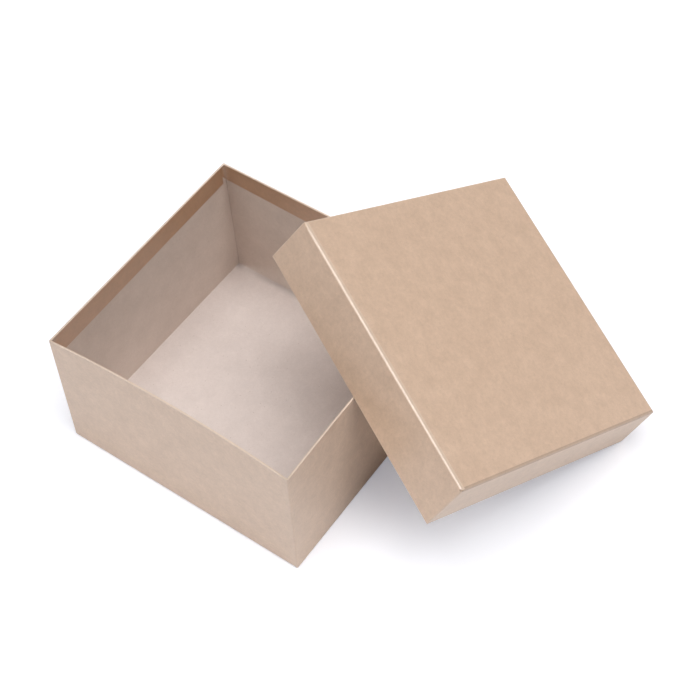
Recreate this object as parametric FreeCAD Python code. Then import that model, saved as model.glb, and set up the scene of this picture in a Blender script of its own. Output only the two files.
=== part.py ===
import FreeCAD, Part
import math
import os

# Open rigid gift box: a grey board tray covered with brown kraft paper, and its lift-off lid,
# which is made the same way and leans over one corner of the tray with one corner on the table.
# The frame is the base's: origin at the centre of its underside, +X right, +Y back, +Z up.
# Lengths are millimetres.

# Outside of the base, and height of the lid.
base_length = 180.0
base_width = 176.0
base_height = 100.0
lid_height = 35.2

# Sheets: the board of the trays, the paper of the wraps, and the paper of the corner stays.
board = 1.0
paper = 0.12
stay_paper = 0.1

# Room between the lid's turned-in paper and the outside of the base, on each side.
lid_fit = 1.5

# Outside roundings: over a scored fold, round an upright corner, and over a cut edge at the rim.
fold_radius = 1.4
corner_radius = 1.0
rim_radius = 0.45

# The long panels of a wrap end in a cut edge this far from the corner.
panel_setback = 0.7

# The end panels of a wrap carry on round the corner, under the long panels, as wings.
wing_length = 15.0

# Corner stays: the reach along each wall, and how far they stop below the rim.
stay_reach = 12.0
stay_drop = 3.0

# Paper turned in over the rim. Its cut edges slope a little, as hand-cut ones do, so each strip
# has a depth at both ends: the end walls' strips at the front and the back, the long walls' strips
# at the left and the right. The end strips stop short of the corners, and the long strips' ends
# are slanted there.
end_turn_in_front = 17.5
end_turn_in_back = 15.3
long_turn_in_left = 14.0
long_turn_in_right = 19.8
end_strip_short = 3.3
strip_slant = 58.0

# Open seam where two board walls meet in an upright corner.
board_seam = 0.15

# How the lid leans. The base's back right corner stands in the hollow of the lid, this far
# from the inside of its top. The line through the two places where the rims touch makes the
# first angle with the right rim, and the second one with the lid's long side.
lean_room = 4.9
rim_line_angle = 31.4
lid_turn_angle = 37.8

# Rest gap between the two rims where they touch.
rest_gap = 0.1

X = FreeCAD.Vector(1, 0, 0)
Y = FreeCAD.Vector(0, 1, 0)
Z = FreeCAD.Vector(0, 0, 1)


def on_plan(a, b):
    return FreeCAD.Vector(a, b, 0)


def on_front(a, b):
    return FreeCAD.Vector(a, 0, b)


def on_side(a, b):
    return FreeCAD.Vector(0, a, b)


def outline(corners, place):
    """Closed face with straight sides, each corner given as (a, b, radius)."""
    points = [place(a, b) for a, b, radius in corners]
    edges = []
    starts = []
    ends = []
    arcs = []
    for i, corner in enumerate(corners):
        here = points[i]
        back = (points[i - 1] - here).normalize()
        ahead = (points[(i + 1) % len(points)] - here).normalize()
        half = back.getAngle(ahead) / 2
        reach = corner[2] / math.tan(half)
        middle = (back + ahead).normalize() * (corner[2] / math.sin(half) - corner[2])
        starts.append(here + back * reach)
        ends.append(here + ahead * reach)
        arcs.append(here + middle)
    for i, corner in enumerate(corners):
        if corner[2] > 0:
            edges.append(Part.Arc(starts[i], arcs[i], ends[i]).toShape())
        edges.append(Part.LineSegment(ends[i], starts[(i + 1) % len(corners)]).toShape())
    return Part.Face(Part.Wire(edges))


def prism(face, direction, low, high):
    """The face pushed along a direction, from low to high."""
    solid = face.extrude(direction * (high - low))
    solid.translate(direction * low)
    return solid


def rectangle(length, width, radius=0.0):
    a = length / 2
    b = width / 2
    return [(-a, -b, radius), (a, -b, radius), (a, b, radius), (-a, b, radius)]


def block(low, high):
    size = high - low
    return Part.makeBox(size.x, size.y, size.z, low)


def upright(length, bottom, top, fold, rim):
    """Upright section of a folded tray: round folds at the bottom, rounded edges at the rim."""
    a = length / 2
    return [(-a, bottom, fold), (a, bottom, fold), (a, top, rim), (-a, top, rim)]


def flared(length, bottom, top, rim):
    """Upright section of a hollow that opens over the rounded inner edge of the rim."""
    a = length / 2
    wide = a + 2 * rim
    over = top + rim
    return [
        (-a, bottom, 0), (a, bottom, 0), (a, top, rim), (wide, top, 0),
        (wide, over, 0), (-wide, over, 0), (-wide, top, 0), (-a, top, rim),
    ]


def crossed(front_section, side_section, length, width):
    """The space that both upright sections share."""
    along_y = prism(outline(front_section, on_front), Y, -width, width)
    along_x = prism(outline(side_section, on_side), X, -length, length)
    return along_y.common(along_x)


def folded_solid(plans, length, width, bottom, top, fold, rim):
    """A closed block with the plans' outline, folds at the bottom and rounded rim edges."""
    columns = [prism(outline(plan, on_plan), Z, bottom - board, top + board) for plan in plans]
    front_section = upright(length, bottom, top, fold, rim)
    side_section = upright(width, bottom, top, fold, rim)
    body = crossed(front_section, side_section, length, width)
    return columns[0].fuse(columns[1:]).common(body).removeSplitter()


def hollow(length, width, bottom, top, rim):
    front_section = flared(length, bottom, top, rim)
    side_section = flared(width, bottom, top, rim)
    return crossed(front_section, side_section, length, width)


class Tray:
    """A set-up tray, open at the top, with its closed side on the XY plane."""

    def __init__(self, length, width, height):
        self.length = length
        self.width = width
        self.height = height
        self.floor = paper + board
        self.inner_length = length - 2 * self.floor
        self.inner_width = width - 2 * self.floor
        self.stays = self.make_stays()
        plain = self.plain_board()
        self.wrap = self.make_wrap(plain)
        self.board = self.make_board(plain)

    def board_block(self):
        """Outside of the board: long walls stand back by one sheet under the wings."""
        length = self.length - 2 * paper
        width = self.width - 2 * paper
        radius = corner_radius - paper
        whole = rectangle(length, width - 2 * paper, radius)
        between_wings = rectangle(self.length - 2 * wing_length, width)
        top = self.height - paper
        fold = fold_radius - paper
        rim = rim_radius - paper
        return folded_solid([whole, between_wings], length, width, paper, top, fold, rim)

    def plain_board(self):
        top = self.height - paper
        rim = rim_radius - paper
        inside = hollow(self.inner_length, self.inner_width, self.floor, top, rim)
        return self.board_block().cut(inside)

    def make_stays(self):
        """Paper angles glued over the board's upright corners, under the wrap."""
        length = self.length - 2 * paper
        width = self.width - 4 * paper
        radius = corner_radius - paper
        low = fold_radius
        high = self.height - stay_drop
        skin = prism(outline(rectangle(length, width, radius), on_plan), Z, low, high)
        under = rectangle(length - 2 * stay_paper, width - 2 * stay_paper, radius - stay_paper)
        ring = skin.cut(prism(outline(under, on_plan), Z, low, high))
        stays = {}
        for x_side, x_name in ((-1, "left"), (1, "right")):
            for y_side, y_name in ((-1, "front"), (1, "back")):
                corner = block(
                    FreeCAD.Vector(length / 2 - stay_reach, width / 2 - stay_reach, 0),
                    FreeCAD.Vector(length, width, self.height),
                )
                turned = corner.copy()
                if x_side < 0:
                    turned = turned.mirror(FreeCAD.Vector(0, 0, 0), X)
                if y_side < 0:
                    turned = turned.mirror(FreeCAD.Vector(0, 0, 0), Y)
                stays[y_name + "_" + x_name] = ring.common(turned)
        return stays

    def make_board(self, plain):
        """One scored blank: the end walls run past the long walls, which butt against them."""
        made = plain.cut(list(self.stays.values()))
        seams = []
        for x_side in (-1, 1):
            for y_side in (-1, 1):
                near = self.inner_length / 2 - board_seam
                far = self.inner_length / 2
                low_x = min(x_side * near, x_side * far)
                low_y = min(y_side * self.inner_width / 2, y_side * self.width / 2)
                low = FreeCAD.Vector(low_x, low_y, self.floor)
                reach = FreeCAD.Vector(board_seam, self.floor, self.height)
                seams.append(block(low, low + reach))
        return made.cut(seams)

    def end_strip_cutters(self):
        """Below the paper that is turned in on the end walls."""
        outer = self.inner_length / 2
        half = self.inner_width / 2
        inner = half - end_strip_short
        low = self.floor - board / 2
        rise = end_strip_short * math.tan(math.radians(strip_slant))
        front_edge = self.height - end_turn_in_front
        back_edge = self.height - end_turn_in_back
        walls = (
            (-outer, paper - outer, long_turn_in_left),
            (outer - paper, outer, long_turn_in_right),
        )
        cutters = []
        for near, far, corner_turn_in in walls:
            corner_edge = self.height - corner_turn_in
            shape = [
                (-half, low, 0), (half, low, 0), (half, corner_edge, 0),
                (inner, corner_edge + rise, 0), (inner, back_edge, 0), (-inner, front_edge, 0),
                (-inner, corner_edge + rise, 0), (-half, corner_edge, 0),
            ]
            cutters.append(prism(outline(shape, on_side), X, near, far))
        return cutters

    def long_strip_cutters(self):
        """Below the paper that is turned in on the long walls."""
        across = self.inner_length / 2
        half = self.inner_width / 2
        low = self.floor - board / 2
        left_edge = self.height - long_turn_in_left
        right_edge = self.height - long_turn_in_right
        shape = [(-across, low, 0), (across, low, 0), (across, right_edge, 0), (-across, left_edge, 0)]
        face = outline(shape, on_front)
        return [prism(face, Y, half - paper, half), prism(face, Y, -half, paper - half)]

    def make_wrap(self, plain):
        """One sheet over the outside, the rim and the top of the inside walls."""
        ends = rectangle(self.length, self.width - 2 * paper, corner_radius)
        long_panels = rectangle(self.length - 2 * panel_setback, self.width)
        skin = folded_solid(
            [ends, long_panels], self.length, self.width, 0.0, self.height, fold_radius, rim_radius
        )
        mouth = hollow(
            self.inner_length - 2 * paper,
            self.inner_width - 2 * paper,
            self.floor - board / 2,
            self.height,
            rim_radius,
        )
        below_strips = self.end_strip_cutters() + self.long_strip_cutters()
        return skin.cut([mouth] + below_strips).cut(plain).removeSplitter()


def lid_placement(lid, base):
    """Where the leaning lid lies: two places of its rim on the base, one corner on the table."""
    turn = math.radians(lid_turn_angle)
    line = math.radians(rim_line_angle)
    rim_long = lid.length - paper * 2 - board
    rim_short = lid.width - paper * 2 - board
    reach = rim_short * math.cos(turn) + rim_long * math.sin(turn)
    sink = lid.height - lid.floor - lean_room
    rim_height = base.height + rest_gap
    slope_share = math.sin(turn) * math.cos(turn)
    corner_share = math.sin(line) * math.cos(line)
    span = sink * reach / (corner_share * rim_height + sink * slope_share)

    on_right_rim = FreeCAD.Vector(
        base.length / 2, base.width / 2 - span * math.cos(line), rim_height
    )
    on_back_rim = FreeCAD.Vector(
        base.length / 2 - span * math.sin(line), base.width / 2, rim_height
    )
    along = (on_back_rim - on_right_rim).normalize()
    level = FreeCAD.Vector(along.y, -along.x, 0)
    tilt = math.asin(rim_height / (reach - span * slope_share))
    down = level * math.cos(tilt) - Z * math.sin(tilt)

    short_way = along * math.sin(turn) + down * math.cos(turn)
    long_way = down * math.sin(turn) - along * math.cos(turn)
    top_way = long_way.cross(short_way)
    foot = on_right_rim + along * span * math.cos(turn) ** 2
    inner_corner = foot - down * span * slope_share
    wall = paper * 2 + board
    outer_corner = inner_corner - (short_way + long_way) * wall
    middle = outer_corner + short_way * lid.width / 2 + long_way * lid.length / 2
    centre = middle + top_way * lid.height
    turned = FreeCAD.Matrix(
        long_way.x, -short_way.x, -top_way.x, centre.x,
        long_way.y, -short_way.y, -top_way.y, centre.y,
        long_way.z, -short_way.z, -top_way.z, centre.z,
        0, 0, 0, 1,
    )
    return FreeCAD.Placement(turned), math.degrees(tilt), on_right_rim, on_back_rim


base = Tray(base_length, base_width, base_height)
lid_growth = 2 * (paper * 2 + board + lid_fit)
lid = Tray(base_length + lid_growth, base_width + lid_growth, lid_height)
placement, tilt, on_right_rim, on_back_rim = lid_placement(lid, base)

nodes = {"base_board": base.board, "base_wrap": base.wrap}
for corner_name, shape in base.stays.items():
    nodes["base_corner_stay_" + corner_name] = shape

lid_parts = {"lid_board": lid.board, "lid_wrap": lid.wrap}
for corner_name, shape in lid.stays.items():
    lid_parts["lid_corner_stay_" + corner_name] = shape
for name, shape in lid_parts.items():
    shape.Placement = placement.multiply(shape.Placement)
    nodes[name] = shape

os.makedirs("parts", exist_ok=True)
for name, shape in nodes.items():
    shape.exportStep("parts/" + name + ".step")
    box = shape.BoundBox
    print(name, len(shape.Solids), "solid,", round(shape.Volume, 1), "mm3, z",
          round(box.ZMin, 3), "to", round(box.ZMax, 3))
print("lid tilt", round(tilt, 2), "rims touch at", on_right_rim, on_back_rim)
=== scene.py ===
# %% [markdown]
# An open gift box of kraft paper over grey board. The base and its lid are trays of stiff grey
# board, each folded from one scored blank. Brown kraft paper is glued over the outside, runs over
# the rim and is turned in a little way down the inside. The lid is off, and leans over a corner.
# The solid shapes are ready-made and are loaded first; this script gives them their surfaces.

# %% Load the solids and note their size
import math

import bmesh
import bpy
from mathutils import Euler, Matrix, Vector


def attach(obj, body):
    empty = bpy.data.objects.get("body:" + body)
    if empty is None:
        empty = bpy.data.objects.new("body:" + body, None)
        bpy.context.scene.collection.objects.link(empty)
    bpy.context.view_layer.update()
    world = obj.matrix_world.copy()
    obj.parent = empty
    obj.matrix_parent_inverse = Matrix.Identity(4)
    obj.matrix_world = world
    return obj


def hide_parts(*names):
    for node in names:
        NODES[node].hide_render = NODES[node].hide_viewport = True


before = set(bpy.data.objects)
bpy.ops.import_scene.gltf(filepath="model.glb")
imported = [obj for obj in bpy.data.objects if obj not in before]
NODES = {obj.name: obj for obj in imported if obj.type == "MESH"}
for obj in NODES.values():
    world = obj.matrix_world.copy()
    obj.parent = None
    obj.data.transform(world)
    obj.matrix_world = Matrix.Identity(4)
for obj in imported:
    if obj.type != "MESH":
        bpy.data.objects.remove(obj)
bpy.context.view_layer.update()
# Lengths are in metres, and this is a millimetre.
MM = 0.001

# %% [markdown]
# The camera looks down on the box from the front right. It is placed by two angles and a distance
# from a point on the box, so the view is easy to read and to change. A fairly long lens keeps the
# perspective mild. The camera also leans a little to one side, which is the last angle.

# %% Camera
AZIMUTH = math.radians(37.303)
ELEVATION = math.radians(52.753)
LEAN = math.radians(3.016)
DISTANCE = 0.9715
LOOK_AT = Vector((0.04535, 0.034765, 0.054))
SENSOR_MM = 36.0
LENS_MM = 79.0


def make_camera():
    back = Vector((
        math.sin(AZIMUTH) * math.cos(ELEVATION),
        -math.cos(AZIMUTH) * math.cos(ELEVATION),
        math.sin(ELEVATION),
    ))
    data = bpy.data.cameras.new("camera")
    data.sensor_width = SENSOR_MM
    data.lens = LENS_MM
    camera = bpy.data.objects.new("camera", data)
    bpy.context.scene.collection.objects.link(camera)
    turn = (-back).to_track_quat("-Z", "Y").to_matrix().to_4x4()
    lean = Matrix.Rotation(-LEAN, 4, "Z")
    camera.matrix_world = Matrix.Translation(LOOK_AT + back * DISTANCE) @ turn @ lean
    bpy.context.scene.camera = camera
    return camera


print("camera at", [round(v, 4) for v in make_camera().location])

# %% [markdown]
# The lid lies at a slant, and its paper's pattern has to follow the sheet and not the world. The
# lid's own directions are read from its solid: the direction in which most of its area faces is
# the way its top faces, and the next one is across a long wall.

# %% The lid's own directions
# Two faces are parallel when the cosine between them is above this, either way round.
PARALLEL = 0.999


def main_directions(node):
    """Unit vectors in which most of a solid's area faces, largest first."""
    areas = []
    # The largest faces come first, so that each direction is that of a flat side.
    for face in sorted(NODES[node].data.polygons, key=lambda face: -face.area):
        for entry in areas:
            if abs(entry[0].dot(face.normal)) > PARALLEL:
                entry[1] += face.area
                break
        else:
            areas.append([face.normal.copy(), face.area])
    areas.sort(key=lambda entry: -entry[1])
    return [entry[0] for entry in areas[:3]]


def lid_turn():
    """Rotation from the lid's own axes to the world: its top faces up its own Z."""
    top, across, _ = main_directions("lid_wrap")
    if top.z < 0:
        top.negate()
    if across.y > 0:
        across.negate()
    across = (across - top * across.dot(top)).normalized()
    along = across.cross(top)
    return Matrix((along, across, top)).transposed().to_euler()


LID_TURN = lid_turn()
NO_TURN = Euler((0.0, 0.0, 0.0))
TURNS = {"base": NO_TURN, "lid": LID_TURN}
print("lid turned by", [round(math.degrees(a), 2) for a in LID_TURN])

# %% [markdown]
# A folded and glued box is seldom quite flat: its walls bow or lean a little, most at the rim,
# where nothing holds them. The front wall of this base bows in by 3.7 mm and its right wall by
# 1.5 mm, and its left one twists. The lid's top is drawn in on two sides, by 2.6 and 3.5 mm, so
# two of its walls spread towards the rim. The solids are straight, so bent copies take their
# places. Every piece of a tray follows the same rule, so board and paper stay face to face.

# %% How the walls are bent
# For each wall: the axis across it, 0 or 1 for its low or high side, and how far its upper edge
# moves inwards, in millimetres, at its first corner, at its last corner and more in the middle.
WALL_MOVES = {
    "base": [(1, 0, 0.0, 0.0, 3.7), (0, 1, 0.0, 0.0, 1.5), (0, 0, 0.96, -1.6, 0.0)],
    "lid": [(0, 0, 2.6, 2.6, 0.0), (1, 1, 3.5, 3.5, 0.0)],
}
# Below 1, a bow is fuller near the corners than a sine wave.
BOW_POWER = 0.8


def bow(share):
    """From 0 at both corners to 1 in the middle of a wall."""
    return math.sin(math.pi * min(max(share, 0.0), 1.0)) ** BOW_POWER


class Tray:
    """The base or the lid: its solids, its box in its own axes, and how its walls are bent."""

    def __init__(self, side):
        self.side = side
        self.names = [name for name in NODES if name.startswith(side)]
        self.to_world = TURNS[side].to_matrix()
        self.to_own = self.to_world.transposed()
        corners = [self.to_own @ v.co for name in self.names for v in NODES[name].data.vertices]
        self.low = [min(c[axis] for c in corners) for axis in range(3)]
        self.size = [max(c[axis] for c in corners) - self.low[axis] for axis in range(3)]

    def bent(self, place):
        """Where a point of the straight tray lies on the bent one, in the tray's own axes."""
        share = [(place[axis] - self.low[axis]) / self.size[axis] for axis in range(3)]
        moved = place.copy()
        for axis, high, first, last, middle in WALL_MOVES[self.side]:
            along = share[1 - axis]
            inwards = first + (last - first) * along + middle * bow(along)
            near = share[axis] if high else 1 - share[axis]
            moved[axis] += (-1 if high else 1) * inwards * MM * near * share[2]
        return moved


TRAYS = {side: Tray(side) for side in WALL_MOVES}
for side, tray in TRAYS.items():
    print(side, "is", [round(length / MM, 2) for length in tray.size], "mm")

# %% [markdown]
# Here the rims and one long fold of the lid's top are painted paler, as a painted highlight, and
# the next fold is painted darker, as painted shade. These tones are matched to the photograph;
# whether wear, glue or light makes them on the real box isn't known. The faces that look into a
# tray are painted darker too, as painted shade. Each face carries its tones as attributes, and
# the finishes read them, so that a tone stays with its edge from every side.

# %% Painted highlight and painted shade along the rims and folds
OPENS_UP = {"base": True, "lid": False}
# Painted highlight: how much paler the rims are painted.
RIM_PAINTED_HIGHLIGHT = 0.45
RIM_BAND = 0.5 * MM
# For each toned fold, by axis and side as for the walls: its tone, a painted highlight above 0
# and painted shade below it, and how wide its band is.
PAINTED_FOLD_TONES = {"base": {}, "lid": {(1, 1): (0.3, 3.0 * MM), (0, 0): (-0.9, 1.9 * MM)}}
# How far up a toned face looks, as a cosine. A fold with a painted highlight shines on its
# rounding by itself, so only the flat top is painted, and a fold with painted shade is painted on
# its rounding too.
PALE_LOOKS_UP = 0.9
DARK_LOOKS_UP = 0.1
# A face is inside a tray when it looks towards the middle by more than this, as a cosine.
LOOKS_IN = 0.4


def painted_edge_tone(tray, face):
    """How much paler a face is painted than the flat sheet, as a painted highlight, or darker if
    below 0, as painted shade.
    """
    place = face.calc_center_median()
    height = place.z - tray.low[2]
    to_rim = tray.size[2] - height if OPENS_UP[tray.side] else height
    closed_half = to_rim > tray.size[2] / 2
    if to_rim < RIM_BAND:
        return RIM_PAINTED_HIGHLIGHT
    for (axis, high), (tone, band) in PAINTED_FOLD_TONES[tray.side].items():
        depth = place[axis] - tray.low[axis]
        depth = tray.size[axis] - depth if high else depth
        looks_up = face.normal.z > (PALE_LOOKS_UP if tone > 0 else DARK_LOOKS_UP)
        if closed_half and looks_up and depth < band:
            return tone
    return 0.0


def note_painted_tones(tray, shape):
    """Gives every face of a straight piece its painted highlight and painted shade."""
    inside = shape.faces.layers.float.new("inside")
    painted_highlight_edge = shape.faces.layers.float.new("painted_highlight_edge")
    painted_shade_fold = shape.faces.layers.float.new("painted_shade_fold")
    middle = Vector([low + size / 2 for low, size in zip(tray.low, tray.size)])
    for face in shape.faces:
        tone = painted_edge_tone(tray, face)
        to_middle = middle - face.calc_center_median()
        to_middle.z = 0.0
        looks_in = face.normal.dot(to_middle.normalized()) > LOOKS_IN
        # A painted highlight above 0, painted shade below it.
        face[painted_highlight_edge] = max(tone, 0.0)
        face[painted_shade_fold] = max(-tone, 0.0)
        # Faces that look into a tray get painted shade.
        face[inside] = float(looks_in and tone <= 0.0)


toned = sum(len(folds) for folds in PAINTED_FOLD_TONES.values())
print("toned:", len(OPENS_UP), "rims and", toned, "folds")

# %% [markdown]
# A flat wall is a few large triangles, which can't follow a bow, so each copy is first cut across
# about every 7.5 mm, and along the edges of the toned bands. Its faces note their tones while it
# is still straight. Then its points are moved, and it is turned back to its place. Weighted
# normals keep a large face evenly lit, and leave the turn to the narrow roundings beside it.

# %% Bent copies of the pieces
CUT_STEP = 7.5 * MM
MERGE_WITHIN = 0.001 * MM
CUT_WITHIN = 0.0001 * MM
SHARP_ANGLE = math.radians(40)
NORMAL_WEIGHT = 100


def cut(tray, shape):
    """Cuts the long faces across, so that they can follow the bow, and along the toned bands."""
    places = []
    for axis in (0, 1):
        count = int(tray.size[axis] / CUT_STEP)
        places += [(axis, tray.size[axis] * i / count) for i in range(1, count)]
    for (axis, high), (_, band) in PAINTED_FOLD_TONES[tray.side].items():
        places.append((axis, tray.size[axis] - band if high else band))
    for axis, at in places:
        direction = Vector([float(j == axis) for j in range(3)])
        everything = shape.verts[:] + shape.edges[:] + shape.faces[:]
        bmesh.ops.bisect_plane(shape, geom=everything, dist=CUT_WITHIN,
                               plane_co=direction * (tray.low[axis] + at), plane_no=direction)


def bake_normals(piece):
    """Large faces keep their own direction, and the narrow roundings beside them take the turn."""
    weighted = piece.modifiers.new("weighted", "WEIGHTED_NORMAL")
    weighted.weight = NORMAL_WEIGHT
    weighted.keep_sharp = True
    graph = bpy.context.evaluated_depsgraph_get()
    piece.data = bpy.data.meshes.new_from_object(piece.evaluated_get(graph), depsgraph=graph)
    piece.modifiers.clear()


def bent_copy(tray, name):
    solid = NODES[name]
    shape = bmesh.new()
    shape.from_mesh(solid.data)
    shape.transform(tray.to_own.to_4x4())
    bmesh.ops.remove_doubles(shape, verts=shape.verts, dist=MERGE_WITHIN)
    cut(tray, shape)
    note_painted_tones(tray, shape)
    for vertex in shape.verts:
        vertex.co = tray.bent(vertex.co)
    shape.transform(tray.to_world.to_4x4())
    bmesh.ops.triangulate(shape, faces=shape.faces)
    open_edges = sum(not edge.is_manifold for edge in shape.edges)
    mesh = bpy.data.meshes.new("bent_" + name)
    shape.to_mesh(mesh)
    shape.free()
    mesh.shade_smooth()
    mesh.set_sharp_from_angle(angle=SHARP_ANGLE)
    piece = bpy.data.objects.new("bent_" + name, mesh)
    bpy.context.scene.collection.objects.link(piece)
    bake_normals(piece)
    piece.data.materials.append(solid.data.materials[0])
    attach(piece, "root")
    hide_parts(name)
    print(piece.name, len(piece.data.polygons), "triangles,", open_edges, "open edges")
    return piece


PIECES = {name: bent_copy(tray, name) for tray in TRAYS.values() for name in tray.names}

# %% [markdown]
# Colours are written as the hex values a painter's tool shows. Shaders work in linear light, so
# one function turns the one into the other, and another adds a node with all that it needs.

# %% Colour and node helpers


def linear(hex_value):
    """An sRGB hex colour as linear red, green, blue and alpha."""
    channels = [int(hex_value[i:i + 2], 16) / 255 for i in (1, 3, 5)]
    return [c / 12.92 if c <= 0.04045 else ((c + 0.055) / 1.055) ** 2.4 for c in channels] + [1.0]


def add_node(tree, kind, feeds=None, **settings):
    """A node with its settings, and a value or a link for each socket in feeds."""
    node = tree.nodes.new(kind)
    for name, value in settings.items():
        setattr(node, name, value)
    for socket, value in (feeds or {}).items():
        if isinstance(value, bpy.types.NodeSocket):
            tree.links.new(value, node.inputs[socket])
        else:
            node.inputs[socket].default_value = value
    return node


def new_material(name):
    material = bpy.data.materials.new(name)
    material.use_nodes = True
    material.node_tree.nodes.clear()
    return material, material.node_tree


print("white is", linear("#FFFFFF")[:3], "in linear light")

# %% [markdown]
# Board and paper are both sheets of fibres, so they share how they are drawn. The pattern lies
# along the piece's own axes, with every size in millimetres of the real sheet. Noises of two
# sizes make the ground, soft clouds and a finer mottle. The thin lines where a noise passes its
# middle value look like fibres. Other colours are laid over the ground one after another, and a
# fine noise gives the small bumps.

# %% What board and paper share
# Detail, roughness and distortion of the noise whose middle value makes the fibres.
FIBRE_NOISE = (3.0, 0.6, 1.2)
GRAIN_DETAIL = 3.0


def own_coordinates(tree, turn):
    """Position on a piece in millimetres, along its own axes."""
    place = add_node(tree, "ShaderNodeTexCoord").outputs["Object"]
    return add_node(tree, "ShaderNodeMapping", {
        "Vector": place, "Rotation": turn, "Scale": (MM, MM, MM),
    }, vector_type="TEXTURE").outputs["Vector"]


def sheet_ground(tree, place, noises, tones):
    """Tones from dark to pale, by noises that are mixed one after another."""
    value = 0.0
    for size_mm, detail, roughness, share in noises:
        layer = add_node(tree, "ShaderNodeTexNoise", {
            "Vector": place, "Scale": 1.0 / size_mm, "Detail": detail, "Roughness": roughness,
        })
        mixed = add_node(tree, "ShaderNodeMix", {0: share, 2: value, 3: layer.outputs["Fac"]})
        value = mixed.outputs[0]
    ramp = add_node(tree, "ShaderNodeValToRGB", {"Fac": value})
    points = ramp.color_ramp.elements
    while len(points) < len(tones):
        points.new(0.5)
    for point, (at, colour) in zip(points, tones):
        point.position = at
        point.color = linear(colour)
    return ramp.outputs["Color"]


def fibre_lines(tree, place, size_mm, reach, strength):
    """Thin winding lines, as strong as said on a fibre and 0 beside it."""
    detail, roughness, distortion = FIBRE_NOISE
    web = add_node(tree, "ShaderNodeTexNoise", {
        "Vector": place, "Scale": 1.0 / size_mm, "Detail": detail, "Roughness": roughness,
        "Distortion": distortion,
    })
    middle = add_node(tree, "ShaderNodeMath", {0: web.outputs["Fac"], 1: 0.5}, operation="SUBTRACT")
    far = add_node(tree, "ShaderNodeMath", {0: middle.outputs[0]}, operation="ABSOLUTE")
    return add_node(tree, "ShaderNodeMapRange", {
        "Value": far.outputs[0], "From Min": 0.0, "From Max": reach,
        "To Min": strength, "To Max": 0.0,
    }).outputs["Result"]


def laid_over(tree, ground, layers):
    """A ground with colours over it: how each is blended, where, and the colour.

    Where is a pattern, or the name of a tone that the faces note.
    """
    coloured = ground
    for kind, share, colour in layers:
        if isinstance(share, str):
            share = add_node(tree, "ShaderNodeAttribute", attribute_name=share).outputs["Fac"]
        coloured = add_node(tree, "ShaderNodeMix", {0: share, 6: coloured, 7: linear(colour)},
                            data_type="RGBA", blend_type=kind).outputs[2]
    return coloured


def small_bumps(tree, place, size_mm, roughness, strength, height_mm):
    """The direction of a surface with a fine grain."""
    grain = add_node(tree, "ShaderNodeTexNoise", {
        "Vector": place, "Scale": 1.0 / size_mm, "Detail": GRAIN_DETAIL, "Roughness": roughness,
    })
    return add_node(tree, "ShaderNodeBump", {
        "Strength": strength, "Distance": height_mm * MM, "Height": grain.outputs["Fac"],
    }).outputs["Normal"]


# %% [markdown]
# Kraft paper is made from long wood fibres that are left unbleached. It is a warm brown with soft
# clouds, where the fibres lie thicker, and a fine web of fibres, some darker and some paler. The
# machine leaves it smooth on one side, so it has a satin gloss.

# %% Kraft paper
# Each noise: size in millimetres, detail, roughness, and its share over the ones before it.
PAPER_NOISES = [(9.0, 3.0, 0.55, 1.0), (2.2, 4.0, 0.75, 0.6)]
PAPER_TONES = [(0.30, "#C4A387"), (0.50, "#D2B195"), (0.70, "#E0BFA3")]
# Each web of fibres: size in millimetres, how far a line reaches around the middle value, and
# strength. Real fibres are about 0.03 mm thick; these lines are about 0.12 mm wide, to show.
PAPER_DARK_FIBRES = (2.6, 0.02, 0.22)
PAPER_PALE_FIBRES = (3.38, 0.015, 0.25)
PAPER_DARK_FIBRE_COLOUR = "#A98262"
PAPER_PALE_FIBRE_COLOUR = "#DCC0A4"
# Painted shade: the paper that is turned in is painted darker and yellower than outside.
PAPER_INSIDE_PAINTED_SHADE = "#DBC09D"
# A painted highlight on the rims and one fold of the lid, and a tint for painted shade on the next
# fold.
PAPER_PAINTED_HIGHLIGHT = "#EBDCCB"
PAPER_PAINTED_SHADE_TINT = "#CFC6BC"
# Grain size in millimetres, its roughness, its strength and its height in millimetres.
PAPER_GRAIN = (0.45, 0.7, 0.35, 0.03)
# Paper has an IOR near 1.5. These values are matched to the bright line along the lid's fold,
# which takes a stronger reflection than that.
PAPER_GLOSS = {"Roughness": 0.39, "IOR": 1.85, "Specular IOR Level": 1.0,
               "Sheen Weight": 0.2, "Sheen Roughness": 0.45}


def kraft_paper(name, turn):
    """Unbleached machine-glazed kraft paper, glued down: warm brown, with a satin gloss."""
    material, tree = new_material(name)
    place = own_coordinates(tree, turn)
    ground = sheet_ground(tree, place, PAPER_NOISES, PAPER_TONES)
    coloured = laid_over(tree, ground, [
        ("MIX", fibre_lines(tree, place, *PAPER_DARK_FIBRES), PAPER_DARK_FIBRE_COLOUR),
        ("MIX", fibre_lines(tree, place, *PAPER_PALE_FIBRES), PAPER_PALE_FIBRE_COLOUR),
        # Painted shade inside the tray, a painted highlight on the rims and a fold, painted shade on
        # the next fold.
        ("MULTIPLY", "inside", PAPER_INSIDE_PAINTED_SHADE),
        ("MIX", "painted_highlight_edge", PAPER_PAINTED_HIGHLIGHT),
        ("MULTIPLY", "painted_shade_fold", PAPER_PAINTED_SHADE_TINT),
    ])
    shader = add_node(tree, "ShaderNodeBsdfPrincipled", {
        "Base Color": coloured, "Normal": small_bumps(tree, place, *PAPER_GRAIN), **PAPER_GLOSS,
    })
    add_node(tree, "ShaderNodeOutputMaterial", {"Surface": shader.outputs[0]})
    return material


KRAFT = {side: kraft_paper("kraft_paper_" + side, turn) for side, turn in TURNS.items()}
print("made", [material.name for material in KRAFT.values()])

# %% [markdown]
# Grey board is pressed from waste paper. It is a pale warm grey and quite matt, with short fibres
# and a few small darker flecks, and a slightly woolly surface. Flecks come from a cell pattern,
# of which only the cells with a low random value have one.

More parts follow.
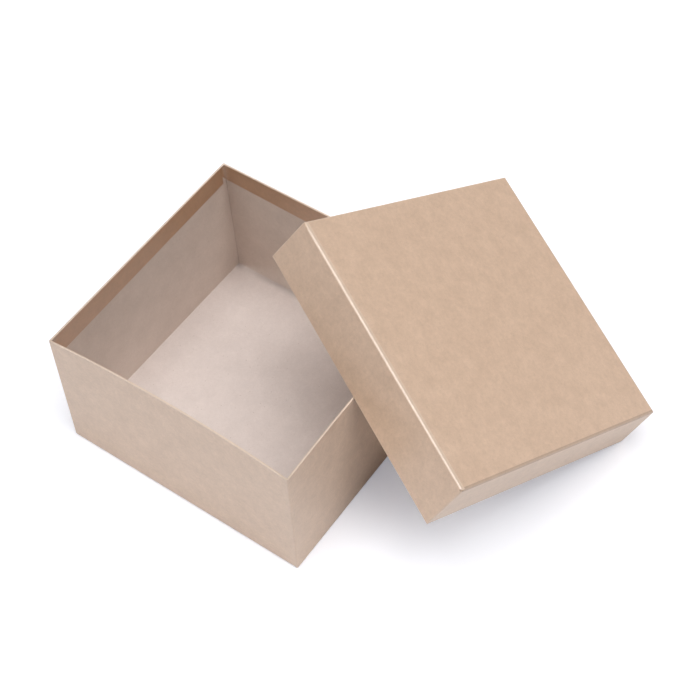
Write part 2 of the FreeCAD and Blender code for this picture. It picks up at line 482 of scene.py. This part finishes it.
# %% Grey board
BOARD_NOISES = [(14.0, 2.0, 0.5, 1.0), (2.2, 4.0, 0.7, 0.5)]
BOARD_TONES = [(0.30, "#D9CDC7"), (0.50, "#DFD3CD"), (0.70, "#E5D9D3")]
# Lines about 0.16 mm wide, coarser than real fibres, so that they show.
BOARD_FIBRES = (2.2, 0.03, 0.18)
BOARD_FIBRE_COLOUR = "#BDAA9C"
# Painted shade: the inside walls are painted a trace warmer and darker than the floor.
BOARD_WALL_PAINTED_SHADE = "#FCF9F4"
# Cell size in millimetres, fleck radius in cells, share of cells with a fleck, and strength.
BOARD_FLECKS = (3.0, 0.09, 0.3, 0.5)
BOARD_FLECK_COLOUR = "#A08C7E"
BOARD_GRAIN = (0.6, 0.75, 0.4, 0.05)
# Uncoated board is so rough that it shows no gloss, so its reflection is off.
BOARD_GLOSS = {"Roughness": 0.9, "IOR": 1.45, "Specular IOR Level": 0.0}


def flecks(tree, place, size_mm, radius, kept, strength):
    """Small spots in a share of the cells of a cell pattern."""
    cells = add_node(tree, "ShaderNodeTexVoronoi", {"Vector": place, "Scale": 1.0 / size_mm})
    near = add_node(tree, "ShaderNodeMath", {0: cells.outputs["Distance"], 1: radius},
                    operation="LESS_THAN")
    pick = add_node(tree, "ShaderNodeSeparateColor", {0: cells.outputs["Color"]})
    chosen = add_node(tree, "ShaderNodeMath", {0: pick.outputs[0], 1: kept}, operation="LESS_THAN")
    spots = add_node(tree, "ShaderNodeMath", {0: near.outputs[0], 1: chosen.outputs[0]},
                     operation="MULTIPLY")
    return add_node(tree, "ShaderNodeMath", {0: spots.outputs[0], 1: strength},
                    operation="MULTIPLY").outputs[0]


def grey_board(name, turn):
    """Pressed waste-paper board, uncoated: matt, woolly, with short fibres and flecks."""
    material, tree = new_material(name)
    place = own_coordinates(tree, turn)
    ground = sheet_ground(tree, place, BOARD_NOISES, BOARD_TONES)
    coloured = laid_over(tree, ground, [
        ("MIX", fibre_lines(tree, place, *BOARD_FIBRES), BOARD_FIBRE_COLOUR),
        # Painted shade on the inside walls.
        ("MULTIPLY", "inside", BOARD_WALL_PAINTED_SHADE),
        ("MIX", flecks(tree, place, *BOARD_FLECKS), BOARD_FLECK_COLOUR),
    ])
    shader = add_node(tree, "ShaderNodeBsdfPrincipled", {
        "Base Color": coloured, "Normal": small_bumps(tree, place, *BOARD_GRAIN), **BOARD_GLOSS,
    })
    add_node(tree, "ShaderNodeOutputMaterial", {"Surface": shader.outputs[0]})
    return material


BOARD = {side: grey_board("grey_board_" + side, turn) for side, turn in TURNS.items()}
print("made", [material.name for material in BOARD.values()])

# %% [markdown]
# The corner stays are strips of gummed paper between board and wrap. They can't be seen in the
# finished box, but a box that is taken apart shows them, so they have a plain paper finish too.

# %% Gummed paper
TAPE_NOISES = [(9.0, 3.0, 0.5, 1.0)]
TAPE_TONES = [(0.35, "#C8AE92"), (0.65, "#D6BFA6")]


def gummed_paper(name, turn):
    """Gummed paper tape: smooth, light brown, with faint clouds."""
    material, tree = new_material(name)
    place = own_coordinates(tree, turn)
    shader = add_node(tree, "ShaderNodeBsdfPrincipled", {
        "Base Color": sheet_ground(tree, place, TAPE_NOISES, TAPE_TONES),
        "Roughness": 0.5, "IOR": 1.5,
    })
    add_node(tree, "ShaderNodeOutputMaterial", {"Surface": shader.outputs[0]})
    return material


TAPE = {side: gummed_paper("gummed_paper_" + side, turn) for side, turn in TURNS.items()}
print("made", [material.name for material in TAPE.values()])

# %% [markdown]
# Each piece takes the finish of what it is made of, in the version that is turned as its tray is.
# The word that says it is in the piece's name.

# %% Give every piece its finish
FINISHES = {"board": BOARD, "wrap": KRAFT, "stay": TAPE}

for side, tray in TRAYS.items():
    for name in tray.names:
        kind = next(kind for kind in FINISHES if kind in name)
        PIECES[name].material_slots[0].material = FINISHES[kind][side]
        print(name, "has", FINISHES[kind][side].name)

# %% [markdown]
# The box stands on a white table in a white room. The table is white by its own colour, and a
# glow that only the camera sees takes the last grey from it and lifts the shadows, as a light
# table does. The room is white for the camera alone, so it adds no light of its own.

# %% Table and room
FLOOR_HALF = 3.0
# The table lies a hair under the box, so that the two don't share a plane.
FLOOR_DROP = 0.0002
FLOOR_COLOUR = "#F4F4F6"
FLOOR_GLOW = 0.25
FLOOR_GLOW_COLOUR = "#E8EFFF"


def make_floor():
    corners = [(-1, -1), (1, -1), (1, 1), (-1, 1)]
    mesh = bpy.data.meshes.new("table_top")
    mesh.from_pydata([(x * FLOOR_HALF, y * FLOOR_HALF, -FLOOR_DROP) for x, y in corners],
                     [], [(0, 1, 2, 3)])
    floor = bpy.data.objects.new("table_top", mesh)
    bpy.context.scene.collection.objects.link(floor)
    material, tree = new_material("white_table")
    path = add_node(tree, "ShaderNodeLightPath")
    strength = add_node(tree, "ShaderNodeMath", {0: path.outputs["Is Camera Ray"], 1: FLOOR_GLOW},
                        operation="MULTIPLY")
    matt = add_node(tree, "ShaderNodeBsdfDiffuse", {"Color": linear(FLOOR_COLOUR)})
    glow = add_node(tree, "ShaderNodeEmission", {
        "Color": linear(FLOOR_GLOW_COLOUR), "Strength": strength.outputs[0],
    })
    both = add_node(tree, "ShaderNodeAddShader", {0: matt.outputs[0], 1: glow.outputs[0]})
    add_node(tree, "ShaderNodeOutputMaterial", {"Surface": both.outputs[0]})
    mesh.materials.append(material)


def make_world():
    """White for the camera alone, where the view passes the edge of the table."""
    world = bpy.data.worlds.new("white_room")
    world.use_nodes = True
    tree = world.node_tree
    tree.nodes.clear()
    path = add_node(tree, "ShaderNodeLightPath")
    light = add_node(tree, "ShaderNodeBackground", {
        "Color": linear("#FFFFFF"), "Strength": path.outputs["Is Camera Ray"],
    })
    add_node(tree, "ShaderNodeOutputWorld", {"Surface": light.outputs[0]})
    bpy.context.scene.world = world


make_floor()
make_world()
print("table:", 2 * FLOOR_HALF, "m wide,", FLOOR_DROP / MM, "mm under the box")

# %% [markdown]
# Large soft lamps stand all round, fitted to the light on the box's faces. The strongest is high
# on the right and lights the inside of the left wall. The next two are straight above and high
# at the front left, and weaker ones stand lower, in front and at the back. Each is a broad sun,
# 38 or 40 degrees wide, so the shadows are soft. Together they give the table about the light of
# a plain white room, so a colour renders about as it is written.

# %% Lamps
# Name, direction from +X towards +Y, height above the table, width (all in degrees), and light.
LAMPS = [
    ("above", 0, 90, 38, 0.366),
    ("high_right", 0, 62, 40, 0.425),
    ("high_front_left", 240, 62, 40, 0.212),
    ("front_left", 225, 36, 40, 0.110),
    ("low_front", 270, 12, 40, 0.060),
    ("back", 90, 36, 40, 0.060),
    ("low_back", 112, 12, 40, 0.070),
    ("low_back_right", 45, 12, 40, 0.140),
]


def make_lamp(name, azimuth, height, width, light):
    data = bpy.data.lights.new(name, "SUN")
    data.angle = math.radians(width)
    data.energy = math.pi * light
    lamp = bpy.data.objects.new(name, data)
    bpy.context.scene.collection.objects.link(lamp)
    across, up = math.radians(azimuth), math.radians(height)
    to_lamp = Vector((math.cos(across) * math.cos(up), math.sin(across) * math.cos(up), math.sin(up)))
    lamp.rotation_mode = "QUATERNION"
    lamp.rotation_quaternion = (-to_lamp).to_track_quat("-Z", "Y")
    lamp.location = LOOK_AT + to_lamp
    on_table = light * math.sin(up)
    print("lamp", name, "gives", light, "and the table gets", round(on_table, 3))
    return on_table


table_light = sum(make_lamp(*lamp) for lamp in LAMPS)
print("the table gets", round(table_light, 2), "times the light of a plain white room")
bpy.context.scene.view_settings.view_transform = "Standard"
